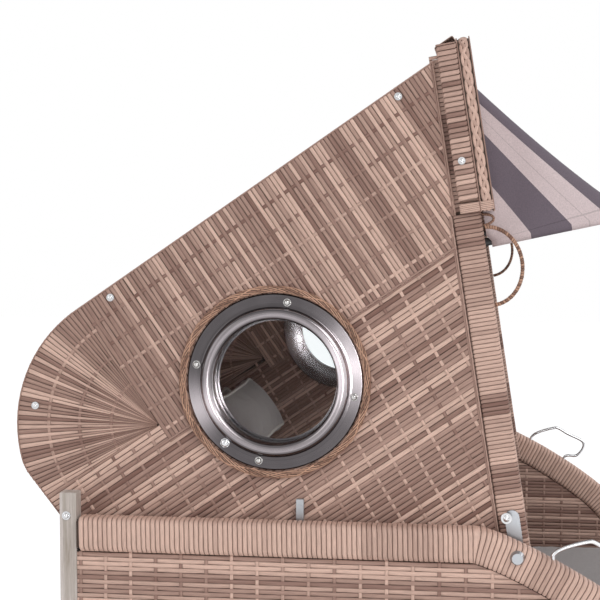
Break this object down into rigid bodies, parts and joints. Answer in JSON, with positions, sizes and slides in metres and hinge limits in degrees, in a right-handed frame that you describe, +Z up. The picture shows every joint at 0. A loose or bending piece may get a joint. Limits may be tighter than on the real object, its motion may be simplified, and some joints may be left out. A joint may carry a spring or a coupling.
{
  "type": "hooded beach chair",
  "caption": "Wicker seat for two with a woven hood that reclines, portholes, a striped folding awning, sliding footrests and gas struts.",
  "frame": {"origin": "on the ground under the middle of the base's footprint, at the centre of the middle skid's underside", "axes": "+Z up, the seat faces -Y, +X to the right-hand side seen from behind the chair"},
  "size_m": [1.2986, 1.2138, 1.5863],
  "materials": {
    "washed_wood": "grey-washed, open grain",
    "woven_strip": "flat woven strips in taupe and pink-beige",
    "strip_wrap": "close wrapping of the same strips",
    "cushion": "grey cloth with pale piping",
    "awning": "striped cloth, dark purple-grey and taupe-beige",
    "bright_steel": "polished",
    "zinc_steel": "zinc plated",
    "pane": "clear",
    "plait": "plaited from thin orange-brown strands",
    "dark_tube": "satin black"
  },
  "bodies": {
    "base": {"skid_left": "washed_wood", "skid_centre": "washed_wood", "skid_right": "washed_wood", "floor_boards": "washed_wood", "rear_post_left": "washed_wood", "rear_post_right": "washed_wood", "arm_band_left": "strip_wrap", "arm_band_right": "strip_wrap", "base_side_left": "woven_strip", "base_side_right": "woven_strip", "rear_wall": "woven_strip", "front_panel": "woven_strip", "centre_partition": "washed_wood", "side_partition_left": "washed_wood", "side_partition_right": "washed_wood", "seat_deck": "washed_wood", "seat_cushion_left": "cushion", "seat_cushion_right": "cushion", "wire_loop_left": "bright_steel", "wire_loop_right": "bright_steel", "pivot_bolt_left": "zinc_steel", "pivot_bolt_right": "zinc_steel", "strut_bracket_left": "zinc_steel", "strut_bracket_right": "zinc_steel"},
    "hood": {"hood_side_left": "woven_strip", "hood_side_right": "woven_strip", "front_post_left": "strip_wrap", "front_post_right": "strip_wrap", "hood_shell": "woven_strip", "visor": "strip_wrap", "visor_rim": "woven_strip", "porthole_flange_left": "bright_steel", "porthole_flange_right": "bright_steel", "porthole_ring_left": "bright_steel", "porthole_ring_right": "bright_steel", "porthole_pane_left": "pane", "porthole_pane_right": "pane", "porthole_wreath_left": "plait", "porthole_wreath_right": "plait", "grab_handle_left": "strip_wrap", "grab_handle_right": "strip_wrap", "pivot_plate_left": "zinc_steel", "pivot_plate_right": "zinc_steel", "back_cushion_left": "cushion", "back_cushion_right": "cushion", "neck_pillow_left": "cushion", "neck_pillow_right": "cushion"},
    "awning": {"awning_bow": "dark_tube", "awning_cloth": "awning"},
    "footrest_left": {"footrest_left": "woven_strip", "footrest_pad_left": "cushion", "footrest_knob_left": "washed_wood"},
    "footrest_right": {"footrest_right": "woven_strip", "footrest_pad_right": "cushion", "footrest_knob_right": "washed_wood"},
    "strut_rod_left": {"strut_rod_left": "zinc_steel"},
    "strut_rod_right": {"strut_rod_right": "zinc_steel"},
    "strut_cylinder_left": {"strut_cylinder_left": "dark_tube"},
    "strut_cylinder_right": {"strut_cylinder_right": "dark_tube"}
  },
  "joints": [
    {"name": "hood_recline", "type": "hinge", "parent": "base", "child": "hood", "pos_m": [0, -0.2115, 0.74], "axis": [-1, 0, 0], "range_deg": [-20, 10]},
    {"name": "footrest_left_slide", "type": "slide", "parent": "base", "child": "footrest_left", "axis": [0, -1, 0], "range_m": [0, 0.4]},
    {"name": "footrest_right_slide", "type": "slide", "parent": "base", "child": "footrest_right", "axis": [0, -1, 0], "range_m": [0, 0.4]},
    {"name": "awning_fold", "type": "hinge", "parent": "hood", "child": "awning", "pos_m": [0, -0.1335, 1.24096], "axis": [-1, 0, 0], "range_deg": [0, 60], "deforming": ["awning_cloth"]},
    {"name": "strut_rod_left_turn", "type": "hinge", "parent": "hood", "child": "strut_rod_left", "pos_m": [-0.588, 0.14847, 0.80297], "axis": [-1, 0, 0], "range_deg": [-8.5, 16.5]},
    {"name": "strut_cylinder_left_slide", "type": "slide", "parent": "strut_rod_left", "child": "strut_cylinder_left", "axis": [0, 0, -1], "range_m": [-0.064, 0.126]},
    {"name": "strut_rod_right_turn", "type": "hinge", "parent": "hood", "child": "strut_rod_right", "pos_m": [0.588, 0.14847, 0.80297], "axis": [-1, 0, 0], "range_deg": [-8.5, 16.5]},
    {"name": "strut_cylinder_right_slide", "type": "slide", "parent": "strut_rod_right", "child": "strut_cylinder_right", "axis": [0, 0, -1], "range_m": [-0.064, 0.126]}
  ],
  "couplings": [
    {"joint": "strut_rod_left_turn", "follows": "hood_recline", "ratio": -0.78},
    {"joint": "strut_cylinder_left_slide", "follows": "hood_recline", "m_per_rad": -0.352},
    {"joint": "strut_rod_right_turn", "follows": "hood_recline", "ratio": -0.78},
    {"joint": "strut_cylinder_right_slide", "follows": "hood_recline", "m_per_rad": -0.352}
  ]
}
